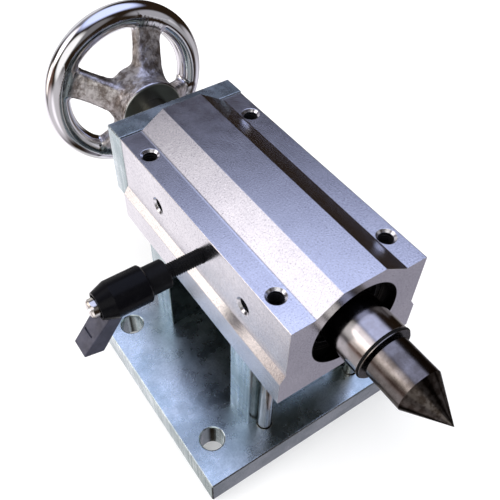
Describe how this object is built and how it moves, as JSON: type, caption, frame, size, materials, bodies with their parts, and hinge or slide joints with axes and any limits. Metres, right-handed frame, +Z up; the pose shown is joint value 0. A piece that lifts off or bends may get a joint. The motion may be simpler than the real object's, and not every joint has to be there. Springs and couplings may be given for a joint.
{
  "type": "tailstock",
  "caption": "Manual tailstock: hand-fed quill with a rotating live centre in a block housing on a pedestal base, with a handwheel and a quill clamp lever.",
  "frame": {"origin": "centre of the base plate's underside", "axes": "+Z up from the base plate; the quill axis is parallel to Y, 112.4 mm up, with the live centre's point towards -Y and the handwheel at +Y; the clamp lever is on the -X side"},
  "size_m": [0.1819, 0.2873, 0.165],
  "materials": {
    "zinc_plated_steel": "zinc plated, slightly mottled",
    "housing_aluminium": "matt, bead blasted",
    "bright_steel": "bright turned",
    "black_oxide_steel": "black oxide",
    "bronze": "machined",
    "black_rubber": "matt",
    "spring_steel": "phosphated",
    "ground_steel": "ground",
    "turned_steel": "turned and polished",
    "bearing_steel": "polished",
    "cage_steel": "pressed",
    "cage_plastic": "moulded",
    "polished_chrome": "polished rim, rough cast spokes",
    "lever_black": "moulded",
    "lever_grey": "satin"
  },
  "bodies": {
    "base": {"base_plate": "zinc_plated_steel", "front_support_block": "zinc_plated_steel", "rear_support_block": "zinc_plated_steel", "body_bolts": "bright_steel", "block_screws": "black_oxide_steel", "housing": "housing_aluminium", "front_bush": "bronze", "rear_bush": "bronze", "front_seal": "black_rubber", "front_retaining_ring": "spring_steel", "rear_retaining_ring": "spring_steel", "bush_set_screws": "black_oxide_steel", "guide_screw": "black_oxide_steel", "end_plate": "zinc_plated_steel", "end_plate_screws": "black_oxide_steel", "screw_bush": "bronze", "rear_thrust_washer": "bronze", "thrust_housing_washer": "bearing_steel"},
    "quill_body": {"quill": "ground_steel", "feed_nut": "bronze", "nut_pin": "bright_steel", "nose_seal": "black_rubber", "nose_shield": "bright_steel", "centre_outer_ring": "bearing_steel", "centre_thrust_housing_washer": "bearing_steel", "centre_rear_bush": "bronze"},
    "live_centre": {"centre": "turned_steel", "centre_inner_ring": "bearing_steel", "centre_thrust_shaft_washer": "bearing_steel", "centre_retaining_ring": "spring_steel"},
    "centre_radial_set": {"centre_radial_cage": "cage_plastic", "centre_radial_balls": "bearing_steel"},
    "centre_thrust_set": {"centre_thrust_cage": "cage_steel", "centre_thrust_balls": "bearing_steel"},
    "wheel_body": {"handwheel": "polished_chrome", "feed_screw": "ground_steel", "thrust_shaft_washer": "bearing_steel", "spacer_collar": "ground_steel", "collar_set_screw": "black_oxide_steel", "wheel_key": "bright_steel", "wheel_washer": "bright_steel", "wheel_nut": "bright_steel"},
    "screw_thrust_set": {"thrust_cage": "cage_steel", "thrust_balls": "bearing_steel"},
    "clamp_plug": {"clamp_pad": "bronze"},
    "clamp_screw": {"clamp_stud": "black_oxide_steel", "lever_screw": "bright_steel", "lever_spring": "spring_steel"},
    "clamp_lever": {"lever_hub": "lever_black", "lever_arm": "lever_grey"}
  },
  "joints": [
    {"name": "handwheel_turn", "type": "hinge", "parent": "base", "child": "wheel_body", "pos_m": [0, 0.1449, 0.1124], "axis": [0, -1, 0], "range_deg": [-2160, 3240]},
    {"name": "quill_feed", "type": "slide", "parent": "base", "child": "quill_body", "axis": [0, -1, 0], "range_m": [-0.018, 0.027]},
    {"name": "screw_thrust_turn", "type": "hinge", "parent": "base", "child": "screw_thrust_set", "pos_m": [0, 0.0785, 0.1124], "axis": [0, -1, 0], "range_deg": [-1080, 1620]},
    {"name": "centre_spin", "type": "hinge", "parent": "quill_body", "child": "live_centre", "pos_m": [0, -0.1, 0.1124], "axis": [0, -1, 0], "continuous": true},
    {"name": "centre_radial_turn", "type": "hinge", "parent": "quill_body", "child": "centre_radial_set", "pos_m": [0, -0.088, 0.1124], "axis": [0, -1, 0], "continuous": true},
    {"name": "centre_thrust_turn", "type": "hinge", "parent": "quill_body", "child": "centre_thrust_set", "pos_m": [0, -0.08, 0.1124], "axis": [0, -1, 0], "continuous": true},
    {"name": "clamp_feed", "type": "slide", "parent": "base", "child": "clamp_plug", "axis": [1, 0, 0], "range_m": [-0.00094, 0.00016]},
    {"name": "clamp_turn", "type": "hinge", "parent": "clamp_plug", "child": "clamp_screw", "pos_m": [-0.057, -0.0035, 0.1154], "axis": [1, 0, 0], "range_deg": [-270, 45]},
    {"name": "lever_lift", "type": "slide", "parent": "clamp_screw", "child": "clamp_lever", "axis": [-1, 0, 0], "range_m": [0, 0.003], "stiffness_N_per_m": 400, "springref_m": -0.005}
  ],
  "couplings": [
    {"joint": "quill_feed", "follows": "handwheel_turn", "m_per_rad": 0.00047746},
    {"joint": "screw_thrust_turn", "follows": "handwheel_turn", "ratio": 0.5},
    {"joint": "centre_radial_turn", "follows": "centre_spin", "ratio": 0.41},
    {"joint": "centre_thrust_turn", "follows": "centre_spin", "ratio": 0.5},
    {"joint": "clamp_feed", "follows": "clamp_turn", "m_per_rad": 0.00019894}
  ]
}
